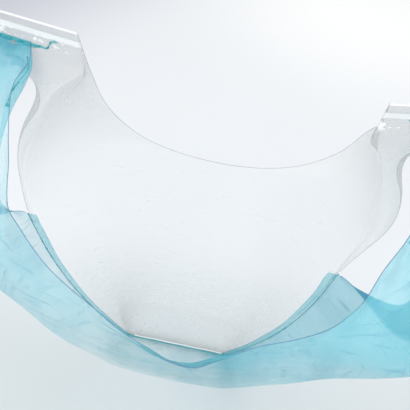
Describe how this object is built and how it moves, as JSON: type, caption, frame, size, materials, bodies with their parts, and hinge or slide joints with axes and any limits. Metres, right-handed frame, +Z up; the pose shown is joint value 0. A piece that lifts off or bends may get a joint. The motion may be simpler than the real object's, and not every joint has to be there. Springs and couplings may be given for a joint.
{
  "type": "shopping bag",
  "caption": "Thin film vest carrier bag with welded seams and loop handles, held open in its carrying shape and standing on its flattened bottom.",
  "frame": {"origin": "under the middle of the bag's outer box, on the surface that it stands on", "axes": "+Z up, +X along the bottom seam towards the right handle, +Y from the blue front sheet towards the clear back sheet"},
  "size_m": [0.4394, 0.2272, 0.425],
  "materials": {
    "blue_film": "translucent pale blue film",
    "clear_film": "clear glossy film"
  },
  "bodies": {
    "root": {"front_sheet": "blue_film", "back_sheet": "clear_film"}
  },
  "joints": []
}
